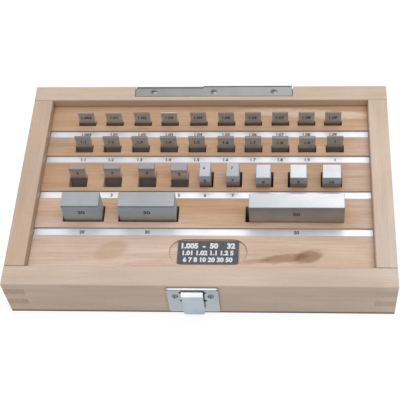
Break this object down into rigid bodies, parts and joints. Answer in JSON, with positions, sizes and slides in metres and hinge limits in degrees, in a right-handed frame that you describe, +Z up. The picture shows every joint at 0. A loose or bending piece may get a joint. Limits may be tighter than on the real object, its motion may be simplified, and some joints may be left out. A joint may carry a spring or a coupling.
{
  "type": "gauge block set",
  "caption": "Rectangular steel gauge blocks standing on end in the slots of a tray, in the open lower half of a finger-jointed wooden case with a lift-off hinge and a sprung front catch.",
  "frame": {"origin": "on the surface that the case stands on, below the middle of the whole object, catch and hinge included", "axes": "+X along the case, to the right seen from the catch; +Y from the catch to the hinge; +Z up"},
  "size_m": [0.202, 0.136, 0.0365],
  "materials": {
    "case_wood": "planed pale hardwood, thin clear lacquer",
    "tray_wood": "planed warm softwood",
    "panel_wood": "thin plywood",
    "label_aluminium": "satin printed aluminium strip",
    "plate_black": "black printed metal plate",
    "block_steel": "ground and lapped tool steel",
    "hinge_steel": "dull zinc-plated steel",
    "catch_steel": "bright zinc-plated pressed steel"
  },
  "bodies": {
    "case": {"back_rail": "case_wood", "bottom_panel": "panel_wood", "catch_pin": "catch_steel", "catch_plate": "catch_steel", "catch_screws": "catch_steel", "front_rail": "case_wood", "gauge_block_1": "block_steel", "gauge_block_10": "block_steel", "gauge_block_1_005": "block_steel", "gauge_block_1_01": "block_steel", "gauge_block_1_02": "block_steel", "gauge_block_1_03": "block_steel", "gauge_block_1_04": "block_steel", "gauge_block_1_05": "block_steel", "gauge_block_1_06": "block_steel", "gauge_block_1_07": "block_steel", "gauge_block_1_08": "block_steel", "gauge_block_1_09": "block_steel", "gauge_block_1_1": "block_steel", "gauge_block_1_2": "block_steel", "gauge_block_1_3": "block_steel", "gauge_block_1_4": "block_steel", "gauge_block_1_5": "block_steel", "gauge_block_1_6": "block_steel", "gauge_block_1_7": "block_steel", "gauge_block_1_8": "block_steel", "gauge_block_1_9": "block_steel", "gauge_block_2": "block_steel", "gauge_block_20": "block_steel", "gauge_block_3": "block_steel", "gauge_block_30": "block_steel", "gauge_block_4": "block_steel", "gauge_block_5": "block_steel", "gauge_block_50": "block_steel", "gauge_block_6": "block_steel", "gauge_block_7": "block_steel", "gauge_block_8": "block_steel", "gauge_block_9": "block_steel", "hinge_leaf": "hinge_steel", "hinge_pin": "hinge_steel", "hinge_screws": "hinge_steel", "label_strip_1": "label_aluminium", "label_strip_2": "label_aluminium", "label_strip_3": "label_aluminium", "label_strip_4": "label_aluminium", "left_rail": "case_wood", "name_plate": "plate_black", "right_rail": "case_wood", "tray": "tray_wood"},
    "lever": {"catch_lever": "catch_steel", "catch_spring": "catch_steel"}
  },
  "joints": [
    {"name": "catch_pivot", "type": "hinge", "parent": "case", "child": "lever", "pos_m": [-0.0031, -0.06417, 0.018], "axis": [-1, 0, 0], "range_deg": [0, 50], "stiffness_Nm_per_rad": 0.02}
  ]
}
